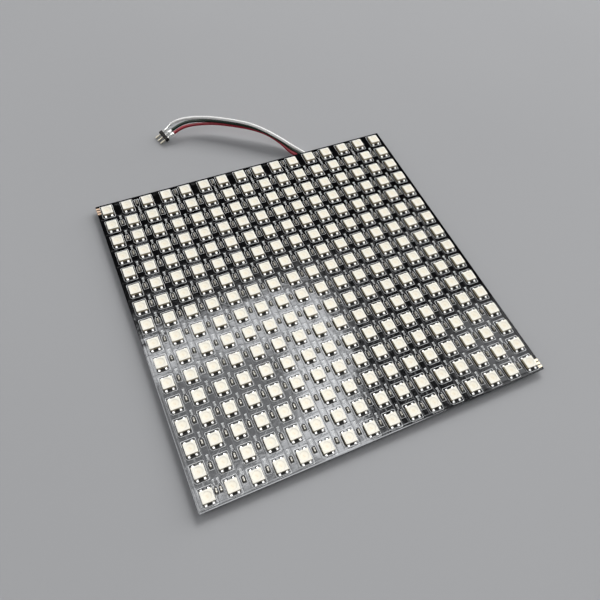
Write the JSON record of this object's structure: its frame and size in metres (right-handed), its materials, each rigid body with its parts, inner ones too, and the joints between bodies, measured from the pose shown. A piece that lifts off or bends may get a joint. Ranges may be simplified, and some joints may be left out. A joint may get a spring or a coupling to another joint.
{
  "type": "rgb led matrix panel",
  "caption": "Square flexible panel of white LED packages in a close grid on a glossy black circuit sheet, with a short three-wire lead that ends in a pin header.",
  "frame": {"origin": "under the middle of the circuit sheet, on the surface that the panel lies on", "axes": "+Z out of the lit face, +X along a row of LEDs, +Y along a column towards the edge that the lead leaves under"},
  "size_m": [0.16, 0.2036, 0.0087],
  "materials": {
    "coverlay": "glossy black film over copper",
    "led_housing": "white moulded plastic",
    "led_resin": "milky resin",
    "chip_ceramic": "fired ceramic with tinned ends",
    "pad_plating": "thin gold over copper",
    "solder": "bright solder",
    "silkscreen_ink": "white printed ink",
    "white_insulation": "smooth vinyl",
    "green_insulation": "smooth vinyl",
    "red_insulation": "smooth vinyl",
    "header_plastic": "moulded black plastic",
    "pin_plating": "plated square wire"
  },
  "bodies": {
    "root": {"back_joints": "solder", "back_solder_pads": "pad_plating", "capacitor_gap_01": "chip_ceramic", "capacitor_gap_02": "chip_ceramic", "capacitor_gap_03": "chip_ceramic", "capacitor_gap_04": "chip_ceramic", "capacitor_gap_05": "chip_ceramic", "capacitor_gap_06": "chip_ceramic", "capacitor_gap_07": "chip_ceramic", "capacitor_gap_08": "chip_ceramic", "capacitor_gap_09": "chip_ceramic", "capacitor_gap_10": "chip_ceramic", "capacitor_gap_11": "chip_ceramic", "capacitor_gap_12": "chip_ceramic", "capacitor_gap_13": "chip_ceramic", "capacitor_gap_14": "chip_ceramic", "capacitor_gap_15": "chip_ceramic", "flex_board": "coverlay", "header_block": "header_plastic", "header_joints": "solder", "header_pins": "pin_plating", "input_edge_pads": "pad_plating", "led_column_01": "led_housing", "led_column_02": "led_housing", "led_column_03": "led_housing", "led_column_04": "led_housing", "led_column_05": "led_housing", "led_column_06": "led_housing", "led_column_07": "led_housing", "led_column_08": "led_housing", "led_column_09": "led_housing", "led_column_10": "led_housing", "led_column_11": "led_housing", "led_column_12": "led_housing", "led_column_13": "led_housing", "led_column_14": "led_housing", "led_column_15": "led_housing", "led_column_16": "led_housing", "output_edge_pads": "pad_plating", "series_resistors": "chip_ceramic", "wire_green": "green_insulation", "wire_red": "red_insulation", "wire_white": "white_insulation"}
  },
  "joints": []
}
